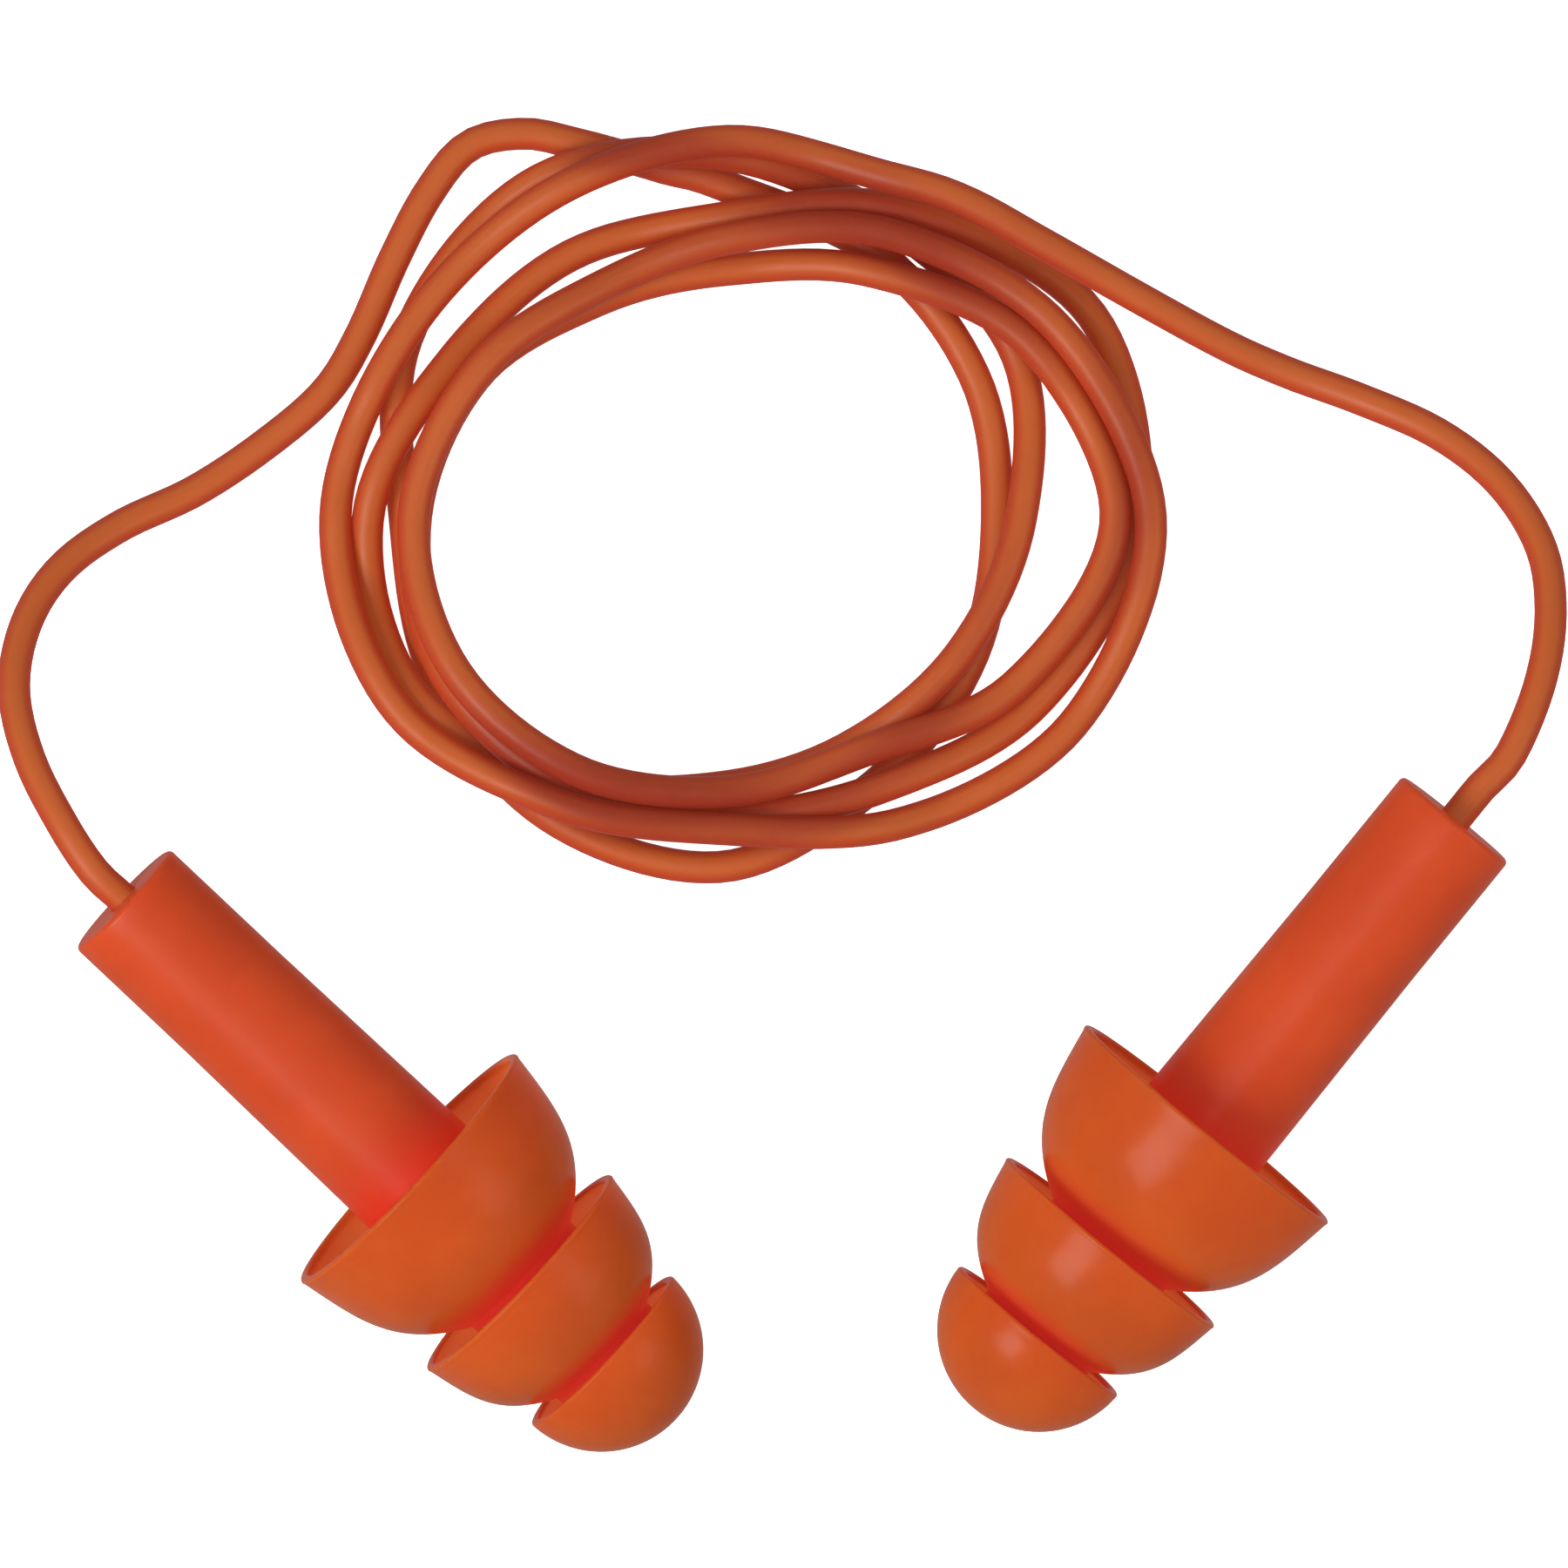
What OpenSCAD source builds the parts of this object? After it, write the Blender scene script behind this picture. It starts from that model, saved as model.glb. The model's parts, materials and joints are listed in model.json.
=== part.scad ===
// Pair of reusable three-flange ear plugs on one thin cord, lying on a table.
// Millimetres, +Z up, table at z = 0. The origin is on the table, in the middle of the two plugs.
// Each plug is a firm stem with a cord bore and a soft ear tip pressed over the stem's spigot.

/* [Plug sizes] */
// Length of a whole plug, stem end to nose
plug_length = 30.2; // [28:0.1:32]
// Radius of the stem's straight grip
stem_r = 2.7; // [2.4:0.05:2.9]
// Length of the straight part of the grip
grip_length = 6; // [4:0.5:9]
// Radius of the stem where it meets the ear tip
stem_root_r = 2.83; // [2.5:0.01:3]
// Height along the plug of the stem's shoulder, where the ear tip starts
shoulder_z = 19.55; // [18.5:0.05:20.5]
// Rounding of the stem's end edge
stem_edge = 0.2; // [0.1:0.05:0.5]

/* [Spigot and cord bore] */
// Radius of the spigot inside the ear tip
spigot_r = 1.7; // [1.2:0.05:2]
// Length of the spigot
spigot_length = 5.8; // [4:0.1:6.5]
// Clearance round the spigot and at its end
spigot_gap = 0.02; // [0.01:0.01:0.05]
// Radius of the blind hole for the cord
bore_r = 0.7; // [0.68:0.01:0.8]
// Depth of the hole for the cord
bore_depth = 7; // [4:0.5:10]

/* [Flanges] */
// Radius of the first flange at its rim
flange1_r = 6.2; // [5.8:0.05:6.6]
// Height along the plug of the first rim
flange1_z = 15.55; // [15:0.05:16]
// Length of the first flange from rim to neck
flange1_h = 6.2; // [5.6:0.05:6.6]
// Depth of the first cup
cup1_depth = 4; // [3:0.1:4.4]
// Radius of the second flange at its rim
flange2_r = 5.3; // [4.9:0.05:5.6]
// Height along the plug of the second rim
flange2_z = 21.6; // [21:0.05:22]
// Length of the second flange from rim to neck
flange2_h = 4.56; // [4:0.02:5]
// Depth of the second cup
cup2_depth = 1.8; // [1:0.1:2.4]
// Radius of the rounded nose, which is the third flange
nose_r = 4.05; // [3.8:0.05:4.3]
// Depth of the third cup
cup3_depth = 1.2; // [0.6:0.1:1.5]
// Radius of the neck under the second flange
neck1_r = 2.85; // [2.6:0.05:3]
// Radius of the neck under the nose
neck2_r = 2.6; // [2.3:0.05:2.8]
// Wall thickness at a rim
lip = 0.65; // [0.5:0.05:0.9]

/* [Cord] */
// Diameter of the cord
cord_d = 1.3; // [1:0.1:1.3]
// Height of the wound coil
coil_height = 4.6; // [2.6:0.1:5]

/* [Hidden] */
stem_colour = [0.83, 0.31, 0.16];
tip_colour = [0.80, 0.35, 0.15];
cord_colour = [0.74, 0.35, 0.18];
$fn = 96;

// A plug lies on its first two rims, so its axis dips towards the nose by this angle.
tilt = atan((flange1_r - flange2_r) / (flange2_z - flange1_z));
// Height of the axis at the stem's end
end_height = flange1_r * cos(tilt) + flange1_z * sin(tilt);
nose_z = plug_length - nose_r;

// Where each stem ends on the table, and the way its nose points
left_end = [-26.49, 8.33, end_height];
left_heading = -42.7;
right_end = [26.22, 11.66, end_height];
right_heading = -129.2;

// Outline of the wound coil
coil_centre = [-1.9, 24.4, 0];
coil_outer = [16.9, 15.1];
coil_inner = [11, 9.8];
coil_steps = 96;

// Each lead runs out of its stem, arcs down to the table and ends in the coil.
// These are the points past the stem's own axis.
left_route = [
    [-28.9, 11.3, 8.5], [-30.2, 14, 7.5], [-30.8, 16.9, 5.9], [-30.3, 19.7, 4.2],
    [-28.9, 22, 2.8], [-26.6, 23.8, 1.6], [-23.6, 25.3, 0.9], [-20.8, 27.2, 0.7],
    [-18.4, 29.3, 0.7], [-17, 31.6, 0.7], [-15.7, 34.6, 0.7], [-14.3, 37.3, 0.7],
    [-12.7, 39.2, 0.7], [-10.5, 39.7, 0.7], [-8.4, 39.3, 0.7], [-6.5, 38.8, 0.7],
    [-4.8, 38.3, 0.7]
];
right_route = [
    [28.4, 14.2, 8.5], [29.6, 17.1, 7.6], [30.1, 20, 6.1], [29.8, 22.8, 4.6],
    [28.3, 25.5, 3.1], [25.9, 27.6, 1.9], [22.8, 29.1, 1.1], [19.9, 30.2, 0.8],
    [17.3, 31.3, 1.2], [13.6, 33.2, 2.2], [10.1, 35.1, 3], [7.1, 36.7, 3.3],
    [4.3, 37.6, 3.3]
];
tube_sides = 8;

// Outer radius of a flange, a share u of the way from its rim to its neck: straight, then rounding in
function flange_radius(rim_r, neck_r, u) = rim_r - (rim_r - neck_r) * (0.3 * u + 0.7 * pow(u, 4));

// Radius of a cup's wall, a share v of the way down to its floor
function cup_radius(mouth_r, neck_r, v) = neck_r + (mouth_r - neck_r) * sqrt(1 - pow(v, 2.5));

// Half outline of a solid flange that stands on its rim
function flange_outline(rim_r, neck_r, rim_z, height, steps = 14) = concat(
    [[0, rim_z]],
    [for (i = [0:steps]) [flange_radius(rim_r, neck_r, i / steps), rim_z + height * i / steps]],
    [[0, rim_z + height]]
);

// Half outline of the hollow of a cup, between the neck and the wall
function cup_outline(mouth_r, neck_r, rim_z, depth, steps = 10) = concat(
    [[neck_r, rim_z - 1], [mouth_r, rim_z - 1]],
    [for (i = [0:steps]) let(v = sin(90 * i / steps)) [cup_radius(mouth_r, neck_r, v), rim_z + depth * v]]
);

// A point on a plug's axis, a distance from the stem's end towards the nose
function axis_point(end, heading, distance) =
    end + distance * [cos(tilt) * cos(heading), cos(tilt) * sin(heading), -sin(tilt)];

// The first stretch of a lead, from the bottom of its hole straight out of the stem
function lead_points(end, heading, route) = concat(
    [for (distance = [6, 3, 0, -1.6]) axis_point(end, heading, distance)],
    route
);

function unit(v) = v / norm(v);

// Smooth curve through the points of a route, at a share t between point i and the next
function route_point(p, i, t) = let(
    a = p[max(i - 1, 0)], b = p[i], c = p[i + 1], d = p[min(i + 2, len(p) - 1)]
) 0.5 * (2 * b + (c - a) * t + (2 * a - 5 * b + 4 * c - d) * t * t + (3 * b - a - 3 * c + d) * t * t * t);

function smooth_route(p) = concat(
    [for (i = [0:len(p) - 2], t = [0, 0.5]) route_point(p, i, t)],
    [p[len(p) - 1]]
);

// The side vertices of the tube at point k of a path
function tube_ring(path, k) = let(
    along = unit(path[min(k + 1, len(path) - 1)] - path[max(k - 1, 0)]),
    side = unit(cross(along, [0, 0, 1])),
    up = cross(side, along)
) [for (j = [0:tube_sides - 1]) let(a = 360 * (j + 0.5) / tube_sides)
    path[k] + cord_d / 2 * (cos(a) * side + sin(a) * up)];

// A plain tube swept along a lead
module lead_tube(points) {
    path = smooth_route(points);
    rings = len(path);
    vertices = [for (k = [0:rings - 1]) each tube_ring(path, k)];
    first_cap = [[for (j = [0:tube_sides - 1]) j]];
    last_cap = [[for (j = [tube_sides - 1:-1:0]) (rings - 1) * tube_sides + j]];
    walls = [for (k = [0:rings - 2], j = [0:tube_sides - 1]) let(n = (j + 1) % tube_sides)
        [k * tube_sides + j, (k + 1) * tube_sides + j, (k + 1) * tube_sides + n, k * tube_sides + n]];
    polyhedron(points = vertices, faces = concat(first_cap, last_cap, walls), convexity = 6);
}

// Lays a plug on the table, from standing on its stem's end
module laid(end, heading) {
    translate(end) rotate([0, 90 + tilt, heading]) children();
}

// The firm stem: a straight grip, a slight taper, and the spigot that holds the ear tip
module stem() {
    difference() {
        rotate_extrude() polygon([
            [0, 0], [stem_r - stem_edge, 0], [stem_r, stem_edge], [stem_r, grip_length],
            [stem_root_r, shoulder_z], [spigot_r, shoulder_z],
            [spigot_r, shoulder_z + spigot_length], [0, shoulder_z + spigot_length]
        ]);
        translate([0, 0, -1]) cylinder(r = bore_r, h = bore_depth + 1);
    }
}

// The soft ear tip: two hollow flanges and a rounded nose, with a blind bore for the spigot
module ear_tip() {
    rotate_extrude() difference() {
        union() {
            difference() {
                polygon(flange_outline(flange1_r, neck1_r, flange1_z, flange1_h));
                square([neck1_r, shoulder_z]);
                polygon(cup_outline(flange1_r - lip, neck1_r, flange1_z, cup1_depth));
            }
            translate([0, flange1_z + flange1_h - 0.5]) square([neck1_r, 2.5]);
            difference() {
                polygon(flange_outline(flange2_r, neck2_r, flange2_z, flange2_h));
                polygon(cup_outline(flange2_r - lip, neck1_r, flange2_z, cup2_depth));
            }
            translate([0, flange2_z + flange2_h - 0.5]) square([neck2_r, 2.5]);
            difference() {
                intersection() {
                    translate([0, nose_z]) circle(r = nose_r);
                    translate([0, nose_z]) square(nose_r + 1);
                }
                polygon(cup_outline(nose_r - lip, neck2_r, nose_z, cup3_depth));
            }
        }
        square([spigot_r + spigot_gap, shoulder_z + spigot_length + spigot_gap]);
    }
}

// An oval outline
module oval(half) {
    polygon([for (i = [0:coil_steps - 1]) let(a = 360 * i / coil_steps) [half[0] * cos(a), half[1] * sin(a)]]);
}

module left_stem() {
    color(stem_colour) laid(left_end, left_heading) stem();
}

module left_ear_tip() {
    color(tip_colour) laid(left_end, left_heading) ear_tip();
}

module right_stem() {
    color(stem_colour) laid(right_end, right_heading) stem();
}

module right_ear_tip() {
    color(tip_colour) laid(right_end, right_heading) ear_tip();
}

module left_lead() {
    color(cord_colour) lead_tube(lead_points(left_end, left_heading, left_route));
}

// The wound part of the cord, as one solid of its outer shape
module cord_coil() {
    color(cord_colour) translate(coil_centre) linear_extrude(coil_height) difference() {
        oval(coil_outer);
        oval(coil_inner);
    }
}

module right_lead() {
    color(cord_colour) lead_tube(lead_points(right_end, right_heading, right_route));
}

left_stem();
left_ear_tip();
right_stem();
right_ear_tip();
left_lead();
cord_coil();
right_lead();
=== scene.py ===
import json
import math

import bmesh
import bpy
import numpy as np
from mathutils import Matrix, Vector


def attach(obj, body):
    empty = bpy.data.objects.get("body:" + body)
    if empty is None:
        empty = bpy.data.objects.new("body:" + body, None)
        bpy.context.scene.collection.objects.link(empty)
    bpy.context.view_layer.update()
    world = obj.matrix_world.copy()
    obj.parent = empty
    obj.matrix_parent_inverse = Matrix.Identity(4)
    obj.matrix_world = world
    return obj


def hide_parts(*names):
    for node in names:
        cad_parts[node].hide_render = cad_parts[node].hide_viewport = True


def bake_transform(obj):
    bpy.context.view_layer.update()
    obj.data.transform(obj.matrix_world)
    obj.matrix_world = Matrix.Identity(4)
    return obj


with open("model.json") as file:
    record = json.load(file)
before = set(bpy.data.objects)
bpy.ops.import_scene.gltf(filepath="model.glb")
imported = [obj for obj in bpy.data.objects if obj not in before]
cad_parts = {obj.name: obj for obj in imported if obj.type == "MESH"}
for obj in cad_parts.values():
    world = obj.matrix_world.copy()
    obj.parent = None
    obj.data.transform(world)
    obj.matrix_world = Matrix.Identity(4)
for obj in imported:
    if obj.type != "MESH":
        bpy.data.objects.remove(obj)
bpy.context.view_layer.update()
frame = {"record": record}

# ---------------------------------------------------------------------------------------------
# The camera. It looks almost straight down with a long lens,
# so the pair of plugs and their cord fill the picture from side to side.
# ---------------------------------------------------------------------------------------------
MM = 0.001
looked_at = Vector((-0.09, 13.73, 0)) * MM
towards_camera = Vector((-0.033, -0.092, 1)).normalized()
picture_width = 62.5 * MM
lens_mm = 600
sensor_mm = 36

camera_data = bpy.data.cameras.new("camera")
camera_data.lens = lens_mm
camera_data.sensor_width = sensor_mm
camera_data.clip_start = 0.01
camera = bpy.data.objects.new("camera", camera_data)
bpy.context.scene.collection.objects.link(camera)
camera_right = Vector((0, 1, 0)).cross(towards_camera).normalized()
camera_up = towards_camera.cross(camera_right)
camera_place = looked_at + towards_camera * picture_width * lens_mm / sensor_mm
camera_turn = Matrix((camera_right, camera_up, towards_camera)).transposed().to_4x4()
camera.matrix_world = Matrix.Translation(camera_place) @ camera_turn
bpy.context.scene.camera = camera
bpy.context.scene.view_settings.view_transform = "Standard"

# ---------------------------------------------------------------------------------------------
# The cord, one thin translucent elastomer string that runs from the bottom of the hole in the
# left stem, round five loose turns and on to the right stem. Each turn rests on the ones below.
# It is cut once, where a crossing turn hides the cut.
# ---------------------------------------------------------------------------------------------
cord_diameter = 1.3
cord_step = 0.6
curve_fineness = 12
hump_reach = 2
most_layers = 12
crowd_reach = 1.9
# Over this span of x the painted shade where strands crowd fades to this share of itself, towards the left,
# the lit side.
lit_left_fade = (-14, -8)
lit_left_share = 0.5
cut_back = 3
grips = {m["name"]: m for m in frame["record"]["mounts"]}


def stem_axis(side, distances):
    """Points on a plug's axis, at distances from the stem's end towards the nose, in millimetres."""
    end = np.array(grips[side + "_grip"]["pos_m"]) / MM
    outward = np.array(grips[side + "_grip"]["axis"])
    return [end - outward * distance for distance in distances]


left_route = [
    (-28.9, 11.3, 8.5), (-30.2, 14, 7.5), (-30.8, 16.9, 5.9), (-30.3, 19.7, 4.2),
    (-28.9, 22, 2.8), (-26.6, 23.8, 1.6), (-23.6, 25.3, 0.9), (-20.8, 27.2, 0.7),
    (-18.4, 29.3, 0.7), (-17, 31.6, 0.7), (-15.7, 34.6, 0.7), (-14.3, 37.3, 0.7),
    (-12.7, 39.2, 0.7), (-10.5, 39.7, 0.7), (-8.4, 39.3, 0.7), (-6.5, 38.8, 0.7),
    (-4.8, 38.3, 0.7),
]
right_route = [
    (28.4, 14.2, 8.5), (29.6, 17.1, 7.6), (30.1, 20, 6.1), (29.8, 22.8, 4.6),
    (28.3, 25.5, 3.1), (25.9, 27.6, 1.9), (22.8, 29.1, 1.1), (19.9, 30.2, 0.8),
    (17.3, 31.3, 1.2), (13.6, 33.2, 2.2), (10.1, 35.1, 3), (7.1, 36.7, 3.3),
    (4.3, 37.6, 3.3),
]

# The loose turns, one a row, anticlockwise from the right lead: how far from the coil's middle the
# cord passes at each spoke, from straight up. The turn at the bottom of the heap is the last.
coil_middle = (-2.52, 24.15)
coil_spokes = 12
coil_reach = [
    (15.0, 14.6, 14.7, 15.5, 15.2, 13.4, 12.5, 14.0, 16.1, 17.0, 15.3, 13.1),
    (11.1, 10.5, 11.4, 12.4, 12.5, 11.9, 11.0, 10.8, 13.3, 15.6, 14.1, 11.5),
    (10.1, 10.2, 11.4, 12.3, 12.8, 12.5, 11.9, 12.4, 14.4, 16.4, 16.9, 14.3),
    (12.1, 12.3, 12.6, 14.2, 14.2, 12.0, 10.6, 10.3, 10.8, 11.8, 13.5, 13.7),
    (14.6, 15.5, 14.6, 12.7, 13.1, 13.7, 13.8, 12.1, 11.3, 10.9, 11.6, 12.4, 13.5),
]
coil_points = []
for spoke, reach in enumerate(sum(coil_reach, ())):
    angle = math.pi / 2 + 2 * math.pi * spoke / coil_spokes
    sideways, upwards = reach * math.cos(angle), reach * math.sin(angle)
    coil_points.append((coil_middle[0] + sideways, coil_middle[1] + upwards, 0))


def smooth_line(points, step):
    """A smooth curve through the points, with its own points a step apart."""
    p = np.array(points, float)
    p = np.vstack([2 * p[0] - p[1], p, 2 * p[-1] - p[-2]])
    fine = []
    for a, b, c, d in zip(p, p[1:], p[2:], p[3:]):
        for t in np.linspace(0, 1, curve_fineness, endpoint=False):
            fine.append(0.5 * (2 * b + (c - a) * t + (2 * a - 5 * b + 4 * c - d) * t ** 2
                               + (3 * b - a - 3 * c + d) * t ** 3))
    fine = np.array(fine + [p[-2]])
    run = np.concatenate([[0], np.cumsum(np.linalg.norm(np.diff(fine, axis=0), axis=1))])
    places = np.linspace(0, run[-1], int(round(run[-1] / step)) + 1)
    return np.stack([np.interp(places, run, fine[:, axis]) for axis in range(3)], axis=1)


def laid_down(line, first_free, last_free):
    """Rests the coiled part of the line on the table and on the turns laid down before it. Where it
    climbs over a turn it does so in a long low hump."""
    gap = np.linalg.norm(line[:, None, :2] - line[None, :, :2], axis=2)
    next_turn = int(3 * cord_diameter / cord_step)
    below, above = np.nonzero(np.triu(gap < cord_diameter, next_turn))
    climb = np.sqrt(cord_diameter ** 2 - gap[below, above] ** 2)
    hump = int(hump_reach / cord_step)
    soften = np.ones(2 * hump + 1) / (2 * hump + 1)
    held_up = line[:, 2].copy()
    held_up[first_free:last_free] = 0
    lowest = np.maximum(held_up, cord_diameter / 2)
    height = lowest
    for layer in range(most_layers):
        rest = lowest.copy()
        np.maximum.at(rest, above, height[below] + climb)
        rest = np.pad(rest, 2 * hump, mode="edge")
        rest = np.lib.stride_tricks.sliding_window_view(rest, 2 * hump + 1).max(axis=1)
        height = np.convolve(rest, soften, mode="valid")
        height[:first_free] = line[:first_free, 2]
    return np.column_stack([line[:, :2], height])


held_in_stem = (5, 2, 0, -1.6)
left_points = stem_axis("left", held_in_stem) + left_route
right_points = right_route[::-1] + stem_axis("right", held_in_stem[::-1])
lead_to_coil = len(smooth_line(left_points, cord_step))
drawn_line = smooth_line(left_points + coil_points[::-1] + right_points, cord_step)
coil_to_lead = len(drawn_line) - len(smooth_line(right_points, cord_step))
cord_line = laid_down(drawn_line, lead_to_coil, coil_to_lead)
cut = lead_to_coil - int(cut_back / cord_step)


class Field:
    """A shader socket that takes part in Python sums."""

    def __init__(self, material, socket):
        self.material = material
        self.socket = socket

    def sum_with(self, operation, *values):
        return self.material.node("ShaderNodeMath", {"operation": operation}, values).out(0)

    def __add__(self, other):
        return self.sum_with("ADD", self, other)

    def __radd__(self, other):
        return self.sum_with("ADD", other, self)

    def __sub__(self, other):
        return self.sum_with("SUBTRACT", self, other)

    def __rsub__(self, other):
        return self.sum_with("SUBTRACT", other, self)

    def __mul__(self, other):
        return self.sum_with("MULTIPLY", self, other)

    def __rmul__(self, other):
        return self.sum_with("MULTIPLY", other, self)

    def size(self):
        return self.sum_with("ABSOLUTE", self)

    def between(self, low, high):
        """0 below low, 1 above high, and a smooth rise from one to the other."""
        settings = {"interpolation_type": "SMOOTHSTEP"}
        inputs = {"Value": self, "From Min": low, "From Max": high}
        return self.material.node("ShaderNodeMapRange", settings, inputs).out(0)


class MadeNode:
    """A shader node with its outputs as fields."""

    def __init__(self, material, node):
        self.material = material
        self.made = node

    def out(self, name):
        return Field(self.material, self.made.outputs[name])


class Finish:
    """A procedural material, built node by node round one Principled shader."""

    def __init__(self, name, **constants):
        self.data = bpy.data.materials.new(name)
        self.data.use_nodes = True
        self.nodes = self.data.node_tree.nodes
        self.links = self.data.node_tree.links
        self.shader = self.nodes["Principled BSDF"]
        for socket, value in constants.items():
            self.shader.inputs[socket.replace("_", " ")].default_value = value

    def node(self, kind, settings=(), inputs=()):
        made = self.nodes.new(kind)
        for key, value in dict(settings).items():
            setattr(made, key, value)
        pairs = inputs.items() if isinstance(inputs, dict) else enumerate(inputs)
        for key, value in pairs:
            self.feed(made.inputs[key], value)
        return MadeNode(self, made)

    def feed(self, socket, value):
        if isinstance(value, Field):
            self.links.new(value.socket, socket)
        else:
            socket.default_value = value

    def set(self, name, value):
        self.feed(self.shader.inputs[name], value)

    def attribute(self, name):
        return self.node("ShaderNodeAttribute", {"attribute_name": name}).out("Fac")

    def place(self):
        return self.node("ShaderNodeTexCoord").out("Object")

    def noise(self, scale, detail):
        inputs = {"Vector": self.place(), "Scale": scale, "Detail": detail}
        return self.node("ShaderNodeTexNoise", {}, inputs).out("Fac")

    def mix(self, share, one, other):
        made = self.node("ShaderNodeMix", {"data_type": "RGBA"})
        self.feed(made.made.inputs[0], share)
        self.feed(made.made.inputs[6], one)
        self.feed(made.made.inputs[7], other)
        return made.out(2)

    def bump(self, height, distance, strength):
        inputs = {"Height": height, "Distance": distance, "Strength": strength}
        self.set("Normal", self.node("ShaderNodeBump", {}, inputs).out("Normal"))


def colour(red, green, blue):
    """A screen colour, 0 to 255, as a shader's linear colour."""
    return tuple(((c / 255 + 0.055) / 1.055) ** 2.4 for c in (red, green, blue)) + (1.0,)


def cord_finish():
    """Translucent orange elastomer with painted light and shade: painted paler along its crown as if lit
    from above, redder at its sides as painted shade, and deeper still as painted shade where strands crowd
    together. Its faint emission is a painted glow that stands in for the light that soaks through it from
    all round."""
    finish = Finish("cord_elastomer", IOR=1.45, Specular_IOR_Level=0.25, Subsurface_Weight=0.6,
                    Subsurface_Scale=0.0012, Subsurface_Radius=(1.0, 0.28, 0.12), Emission_Strength=0.62)
    # Painted light and shade: the crown colour is paler, as if lit from above, and the side colour redder,
    # as if in shade.
    crown = colour(190, 95, 46)
    side = colour(182, 64, 33)
    deep = colour(148, 50, 32)
    across = finish.attribute("across").size()
    crowd_shade = finish.attribute("crowd_shade")
    mottle = finish.noise(900, 3)
    body = finish.mix(across.between(0.3, 0.98), crown, side)
    # Painted shade: deeper where strands crowd together, with a little random mottle.
    body = finish.mix(crowd_shade.between(0.2, 2.2) * 0.9 + (mottle - 0.5) * 0.15, body, deep)
    finish.set("Base Color", body)
    # Painted glow: the emission stands in for light that soaks through the cord.
    finish.set("Emission Color", finish.mix(0.6, body, colour(0, 0, 0)))
    finish.set("Roughness", 0.34 + mottle * 0.14)
    finish.bump(finish.noise(1400, 2), 0.00001, 0.35)
    return finish.data


def tube(name, line, finish):
    """A round tube along part of the cord. Each vertex keeps how far across the cord it is, for the painted
    light and shade across it, and how many more strands lie about it, for the painted shade where strands
    crowd, which is lighter on the left, the lit side."""
    data = bpy.data.curves.new(name + "_line", "CURVE")
    data.dimensions = "3D"
    data.twist_mode = "Z_UP"
    data.bevel_depth = cord_diameter / 2 * MM
    data.bevel_resolution = 6
    data.use_fill_caps = True
    spline = data.splines.new("POLY")
    spline.points.add(len(line) - 1)
    for point, place in zip(spline.points, line * MM):
        point.co = (*place, 1)
    drawn = bpy.data.objects.new(name + "_line", data)
    bpy.context.scene.collection.objects.link(drawn)
    mesh = bpy.data.meshes.new_from_object(drawn.evaluated_get(bpy.context.evaluated_depsgraph_get()))
    bpy.data.objects.remove(drawn)
    bpy.data.curves.remove(data)
    mesh.name = name
    mesh.shade_smooth()
    for face in mesh.polygons:
        face.use_smooth = len(face.vertices) == 4
    mesh.materials.clear()
    mesh.materials.append(finish)
    vertices = np.zeros(len(mesh.vertices) * 3)
    mesh.vertices.foreach_get("co", vertices)
    vertices = vertices.reshape(-1, 3) / MM
    nearest = np.array([np.argmin(((line - v) ** 2).sum(axis=1)) for v in vertices])
    along = np.gradient(line, axis=0)
    sideways = np.cross(along, (0, 0, 1))
    sideways /= np.linalg.norm(sideways, axis=1, keepdims=True)
    across = ((vertices - line[nearest]) * sideways[nearest]).sum(axis=1) / (cord_diameter / 2)
    near = np.linalg.norm(vertices[:, None, :2] - cord_line[None, :, :2], axis=2) / crowd_reach
    one_strand = 4 / 3 * crowd_reach / cord_step
    strands = np.maximum(0, 1 - near ** 2).sum(axis=1) / one_strand
    # The painted shade where strands crowd is lighter towards the left, the lit side.
    strands *= np.interp(vertices[:, 0], lit_left_fade, (lit_left_share, 1))
    for attribute, values in (("across", across), ("crowd_shade", np.maximum(0, strands - 1))):
        mesh.attributes.new(attribute, "FLOAT", "POINT").data.foreach_set("value", values.astype(np.float32))
    piece = bpy.data.objects.new(name, mesh)
    bpy.context.scene.collection.objects.link(piece)
    return piece


# The cord's two parts, each with its line, the nodes it stands for, the side of its plug, and the way in
# which it passes from lying still to turning with that plug.
cord_material = cord_finish()
cord_parts = {
    "left_cord_lead": (cord_line[:cut + 1], ["left_lead"], "left", (3, -5, 3)),
    "wound_cord_and_right_lead": (cord_line[:cut - 1:-1], ["cord_coil", "right_lead"], "right", (3, -4, 6)),
}
for name, (line, nodes, side, way) in cord_parts.items():
    piece = tube(name, line, cord_material)
    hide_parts(*nodes)
    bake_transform(piece)

# ---------------------------------------------------------------------------------------------
# The two stems, firm mouldings with a soft gloss. Each has a blind hole in its end for the cord, a
# straight grip that thickens a little towards the ear tip, and a spigot that holds the ear tip.
# ---------------------------------------------------------------------------------------------
stem_r = grips["left_grip"]["dims"]["r_mm"]
stem_end_round = 0.22
straight_to_z = 6
stem_root_r = 2.83
shoulder_z = 19.55
spigot_r = 1.7
spigot_top_z = shoulder_z + 5.8
hole_r = 0.67
hole_depth = 6
hole_round = 0.12
# Where along the stem the painted root shade and glow rise.
root_shade = (12.6, 17)
spin_steps = 128


def arc(middle_r, middle_z, radius, start_deg, end_deg, steps=6):
    """Points of a rounded corner in a half outline."""
    angles = [math.radians(start_deg + (end_deg - start_deg) * i / steps) for i in range(steps + 1)]
    return [(middle_r + radius * math.cos(a), middle_z + radius * math.sin(a)) for a in angles]


def straight(start, end, steps):
    """Points of a straight run, without its first."""
    return [tuple(a + (b - a) * i / steps for a, b in zip(start, end)) for i in range(1, steps + 1)]


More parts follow.
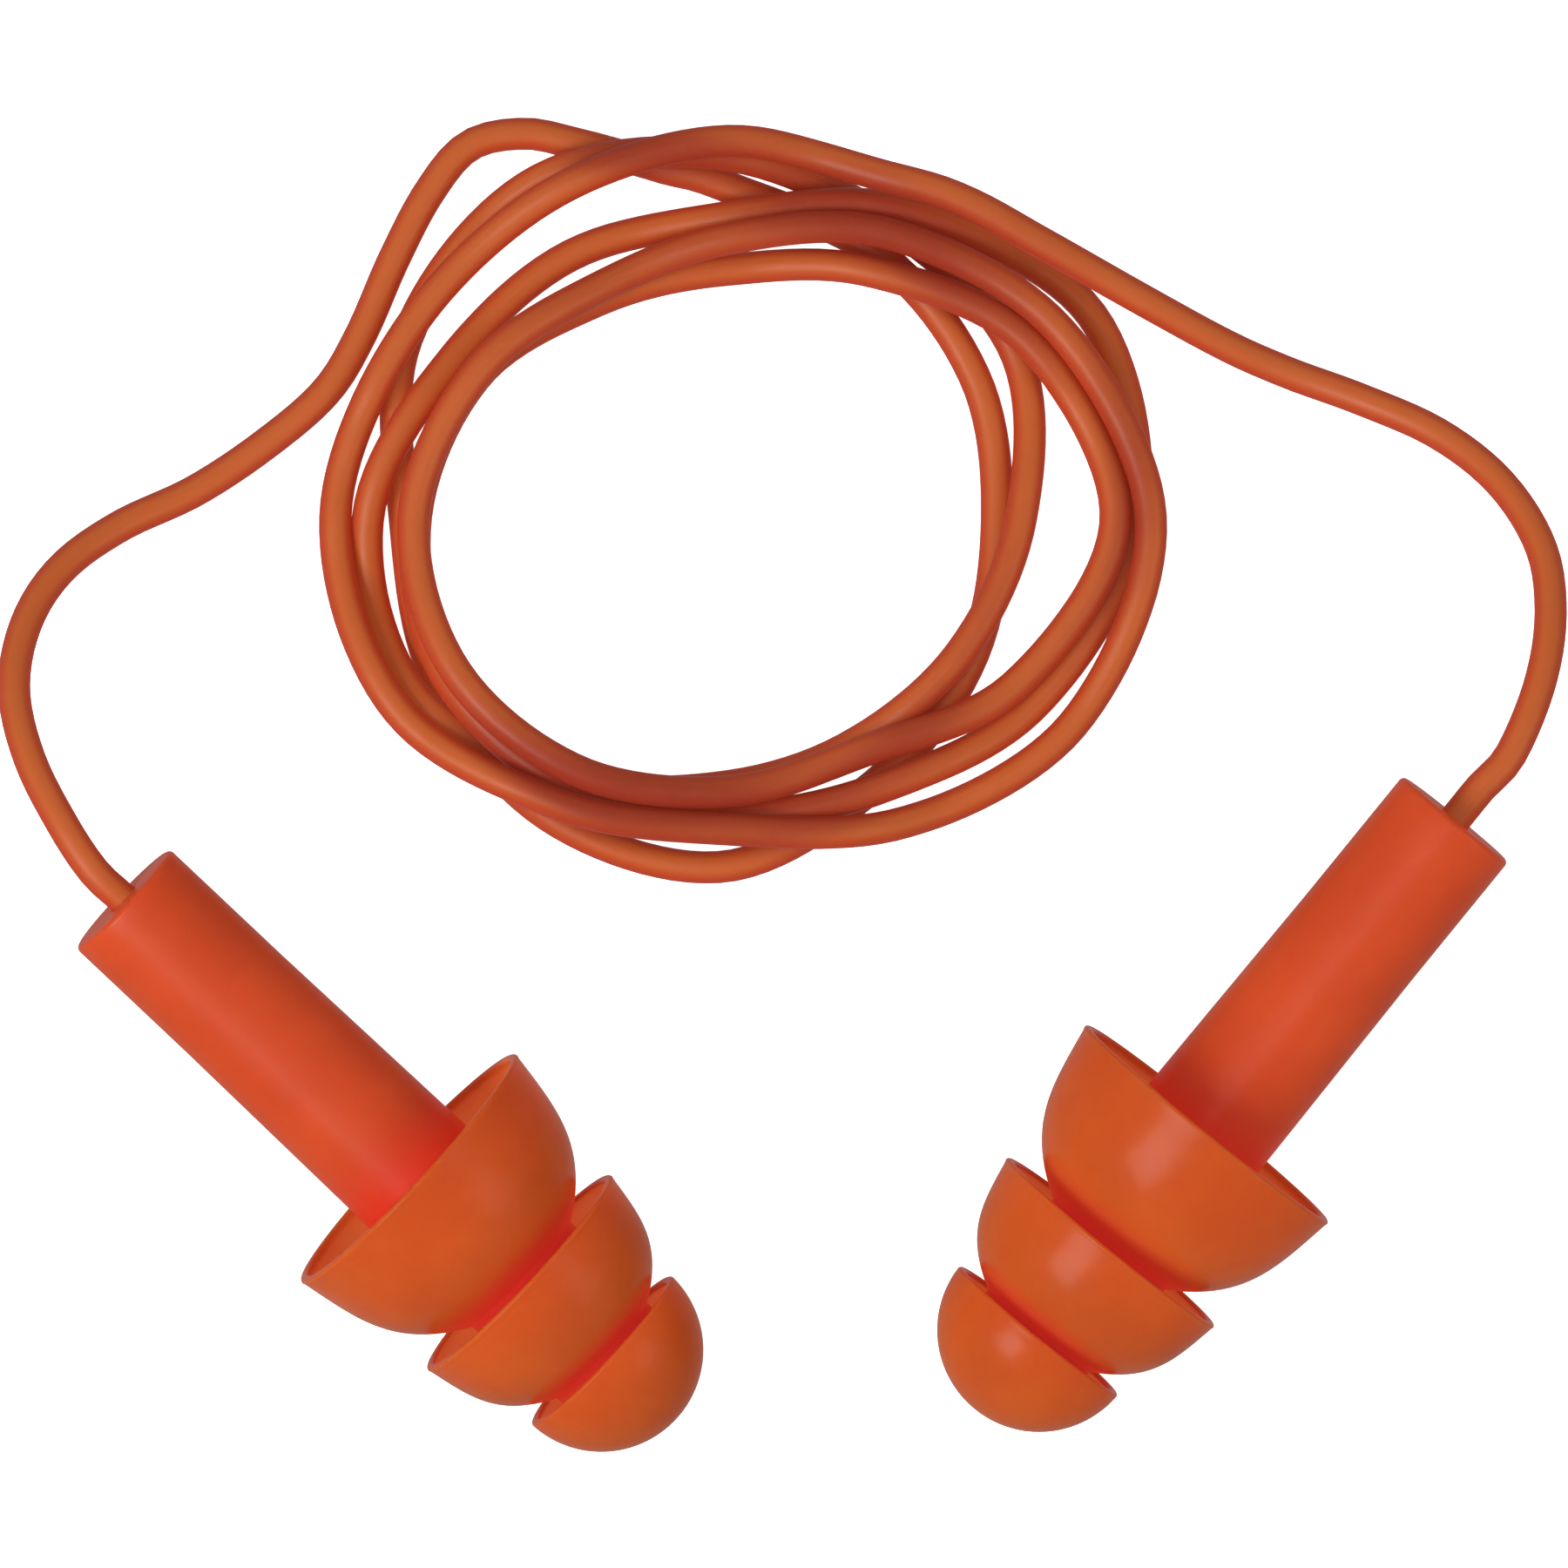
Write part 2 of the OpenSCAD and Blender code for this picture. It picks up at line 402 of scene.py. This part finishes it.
def plug_frame(side):
    """The place of a plug that stands on its stem's end: its Z runs to the nose, its Y is nearly up."""
    end = Vector(grips[side + "_grip"]["pos_m"])
    nose = -Vector(grips[side + "_grip"]["axis"]).normalized()
    level = Vector((0, 0, 1)).cross(nose).normalized()
    return Matrix.Translation(end) @ Matrix((level, nose.cross(level), nose)).transposed().to_4x4()


def turned(name, outline, side, finish):
    """A solid of revolution, laid where that side's plug is. Each point of its half outline is a radius
    and a height in millimetres, and may say how deep in a root or cup it is, which its surface keeps for
    painted shade and glow."""
    shape = bmesh.new()
    depth = shape.verts.layers.float.new("depth")
    points = []
    for radius, height, *deep in outline:
        points.append(shape.verts.new((radius * MM, 0, height * MM)))
        points[-1][depth] = deep[0] if deep else 0
    edges = [shape.edges.new(pair) for pair in zip(points, points[1:])]
    bmesh.ops.spin(shape, geom=points + edges, cent=(0, 0, 0), axis=(0, 0, 1), dvec=(0, 0, 0),
                   angle=2 * math.pi, steps=spin_steps, use_merge=True)
    bmesh.ops.remove_doubles(shape, verts=shape.verts, dist=0.004 * MM)
    bmesh.ops.recalc_face_normals(shape, faces=shape.faces)
    mesh = bpy.data.meshes.new(name)
    shape.to_mesh(mesh)
    shape.free()
    mesh.transform(plug_frame(side))
    mesh.shade_smooth()
    mesh.materials.append(finish)
    piece = bpy.data.objects.new(name, mesh)
    bpy.context.scene.collection.objects.link(piece)
    return piece


def along_plug(finish, side):
    """How far a surface point is along its plug from the stem's end, in millimetres."""
    end = Vector(grips[side + "_grip"]["pos_m"])
    nose = -Vector(grips[side + "_grip"]["axis"]).normalized()
    subtract, dot = {"operation": "SUBTRACT"}, {"operation": "DOT_PRODUCT"}
    from_end = finish.node("ShaderNodeVectorMath", subtract, {0: finish.place(), 1: end}).out(0)
    return finish.node("ShaderNodeVectorMath", dot, {0: from_end, 1: nose}).out("Value") * (1 / MM)


def stem_finish(side):
    """Firm orange-red elastomer with a soft gloss. It is painted darker and redder near its root, a painted
    shade where the ear tip's cup shades it, and its emission is a painted glow, deep red at the root, that
    stands in for the light that soaks through both."""
    finish = Finish(side + "_stem_elastomer", IOR=1.48, Specular_IOR_Level=0.25, Subsurface_Weight=0.7,
                    Subsurface_Scale=0.0025, Subsurface_Radius=(1.0, 0.25, 0.1), Emission_Strength=0.5)
    height = along_plug(finish, side)
    cloud = finish.noise(260, 4)
    root = height.between(*root_shade)
    # Painted shade: the shaded colour darkens the root, where the ear tip's cup shades the stem.
    bright, dull, shaded = colour(210, 80, 35), colour(201, 73, 31), colour(196, 42, 28)
    glow, root_glow = colour(132, 40, 16), colour(176, 30, 24)
    body = finish.mix(cloud.between(0.3, 0.7), bright, dull)
    finish.set("Base Color", finish.mix(root * 0.8, body, shaded))
    # Painted glow: an emission over the whole stem, deep red at its root.
    finish.set("Emission Color", finish.mix(root, glow, root_glow))
    finish.set("Roughness", 0.3 + cloud * 0.12)
    finish.bump(finish.noise(700, 3), 0.00002, 0.4)
    return finish.data


stem_outline = (
    [(0, hole_depth), (hole_r, hole_depth)]
    + arc(hole_r + hole_round, hole_round, hole_round, 180, 270)
    + arc(stem_r - stem_end_round, stem_end_round, stem_end_round, -90, 0)
    + straight((stem_r, stem_end_round), (stem_r, straight_to_z), steps=8)
    + straight((stem_r, straight_to_z), (stem_root_r, shoulder_z), steps=20)
    + [(spigot_r, shoulder_z), (spigot_r, spigot_top_z), (0, spigot_top_z)]
)
for side in ("left", "right"):
    stem = turned(side + "_stem_moulding", stem_outline, side, stem_finish(side))
    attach(stem, side + "_plug")
    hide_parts(side + "_stem")

# ---------------------------------------------------------------------------------------------
# The two ear tips, soft satin mouldings. Each has two thin hollow flanges and a rounded nose,
# all open towards the stem, and a blind bore that the stem's spigot fills.
# ---------------------------------------------------------------------------------------------
flanges = [
    {"rim_r": 6.2, "rim_z": 15.55, "height": 6.2, "neck_r": 2.85, "cup": 4.0, "wall": 0.4},
    {"rim_r": 5.3, "rim_z": 21.6, "height": 4.56, "neck_r": 2.6, "cup": 1.8, "wall": 0.38},
]
flange_cone = 0.3
flange_bow = 4
cup_bow = 2.5
cup_floor_r = 2.85
lip_r = 0.13
plug_length = 30.2
nose_r = 4.05
nose_z = plug_length - nose_r
nose_wall = 0.38
nose_cup = 1.2
nose_floor_r = 2.6
bore_gap = 0.02
# Where the painted shade and glow at a flange's root, and the painted glow inside a cup, rise along the
# outline.
root_glow_share = (0.68, 1.06)
cup_glow_share = (-0.3, 0.4)


def eased(value, low, high):
    """0 below low, 1 above high, and a smooth rise between."""
    share = min(1, max(0, (value - low) / (high - low)))
    return share * share * (3 - 2 * share)


def flange_side(flange, steps=26):
    """The outer face of a flange, from its neck down to its rim."""
    points = []
    for share in (1 - i / steps for i in range(steps)):
        inwards = flange_cone * share + (1 - flange_cone) * share ** flange_bow
        radius = flange["rim_r"] - (flange["rim_r"] - flange["neck_r"]) * inwards
        climb = flange["height"] * share
        if climb > lip_r:
            points.append((radius, flange["rim_z"] + climb, eased(share, *root_glow_share)))
    return points


def cup_wall(mouth_r, floor_r, rim_z, depth, steps=16):
    """The inner face of a cup, from its mouth up to its floor at the neck."""
    points = []
    for share in (math.sin(math.pi / 2 * i / steps) for i in range(steps + 1)):
        radius = floor_r + (mouth_r - floor_r) * math.sqrt(max(0, 1 - share ** cup_bow))
        if depth * share > lip_r:
            points.append((radius, rim_z + depth * share, -eased(share, *cup_glow_share)))
    return points


def lip(rim_r, rim_z, wall):
    """The rounded lip from a flange's outer face round to its cup."""
    return (arc(rim_r - lip_r, rim_z + lip_r, lip_r, 0, -90, steps=5)
            + arc(rim_r - wall + lip_r, rim_z + lip_r, lip_r, -90, -180, steps=5))


tip_outline = arc(0, nose_z, nose_r, 90, 2, steps=29)
tip_outline += lip(nose_r, nose_z, nose_wall)
tip_outline += cup_wall(nose_r - nose_wall, nose_floor_r, nose_z, nose_cup)
for flange in reversed(flanges):
    tip_outline += flange_side(flange)
    tip_outline += lip(flange["rim_r"], flange["rim_z"], flange["wall"])
    tip_outline += cup_wall(flange["rim_r"] - flange["wall"], cup_floor_r, flange["rim_z"], flange["cup"])
bore_r = spigot_r + bore_gap
bore_top_z = spigot_top_z + bore_gap
tip_outline += [(bore_r, shoulder_z), (bore_r, bore_top_z), (0, bore_top_z)]


def tip_finish(side):
    """Soft orange elastomer with a satin skin. The roots of the flanges are painted a deep red, a painted
    shade, with a painted red glow, and the insides of the cups a painted bright orange glow; the whole skin
    has a faint painted glow. These stand in for the light that soaks through it."""
    finish = Finish(side + "_tip_elastomer", IOR=1.42, Specular_IOR_Level=0.13, Subsurface_Weight=0.8,
                    Subsurface_Scale=0.0025, Subsurface_Radius=(1.0, 0.3, 0.12), Emission_Strength=0.5)
    depth = finish.attribute("depth")
    root = depth.between(0, 1)
    inside = (0 - depth).between(0, 1)
    cloud = finish.noise(300, 4)
    # Painted shade: the rooted colour paints the roots of the flanges a deep red.
    bright, dull, rooted = colour(203, 93, 37), colour(194, 86, 34), colour(196, 44, 34)
    skin_glow, cup_glow, root_glow = colour(106, 38, 14), colour(182, 98, 54), colour(178, 40, 34)
    skin = finish.mix(cloud.between(0.3, 0.7), bright, dull)
    finish.set("Base Color", finish.mix(root, skin, rooted))
    # Painted glow: a faint emission on the skin, bright orange inside the cups and red at the roots.
    glow = finish.mix(inside, skin_glow, cup_glow)
    finish.set("Emission Color", finish.mix(root, glow, root_glow))
    finish.set("Roughness", 0.22 + cloud * 0.06)
    finish.bump(finish.noise(900, 4), 0.00002, 0.25)
    return finish.data


for side in ("left", "right"):
    tip = turned(side + "_flanged_tip", tip_outline, side, tip_finish(side))
    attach(tip, side + "_plug")
    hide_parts(side + "_ear_tip")

# ---------------------------------------------------------------------------------------------
# A plain table top, a sheet that glows white from below like a light table, and the studio: a
# bright square light at the front left, a weaker one at the front right and a faint strip above.
# ---------------------------------------------------------------------------------------------
table_shape = bmesh.new()
bmesh.ops.create_grid(table_shape, x_segments=1, y_segments=1, size=0.6)
table_mesh = bpy.data.meshes.new("table_top")
table_shape.to_mesh(table_mesh)
table_shape.free()
table_sheet = Finish("white_table", Roughness=0.9, Emission_Strength=1.0)
table_sheet.set("Base Color", (0.9, 0.9, 0.9, 1))
table_sheet.set("Emission Color", (1.0, 1.0, 1.0, 1))
table_mesh.materials.append(table_sheet.data)
table_top = bpy.data.objects.new("table_top", table_mesh)
bpy.context.scene.collection.objects.link(table_top)
table_top.visible_diffuse = False
table_top.visible_glossy = False


def softbox(name, place, size, watts):
    """A flat studio light that faces the middle of the object."""
    light = bpy.data.lights.new(name, "AREA")
    light.shape = "RECTANGLE"
    light.size, light.size_y = size
    light.energy = watts
    lamp = bpy.data.objects.new(name, light)
    bpy.context.scene.collection.objects.link(lamp)
    aim = (looked_at - Vector(place)).to_track_quat("-Z", "Y")
    lamp.matrix_world = Matrix.Translation(Vector(place)) @ aim.to_matrix().to_4x4()


softbox("light_key", place=(-0.36, -0.2, 0.5), size=(0.3, 0.3), watts=2.6)
softbox("light_fill", place=(0.55, -0.12, 0.44), size=(0.3, 0.3), watts=0.55)
softbox("light_over", place=(-0.05, -0.06, 0.8), size=(0.04, 0.4), watts=0.3)

studio = bpy.data.worlds.new("studio")
studio.use_nodes = True
room = studio.node_tree.nodes["Background"].inputs
room["Color"].default_value = (1.0, 1.0, 1.0, 1)
room["Strength"].default_value = 0.3
bpy.context.scene.world = studio
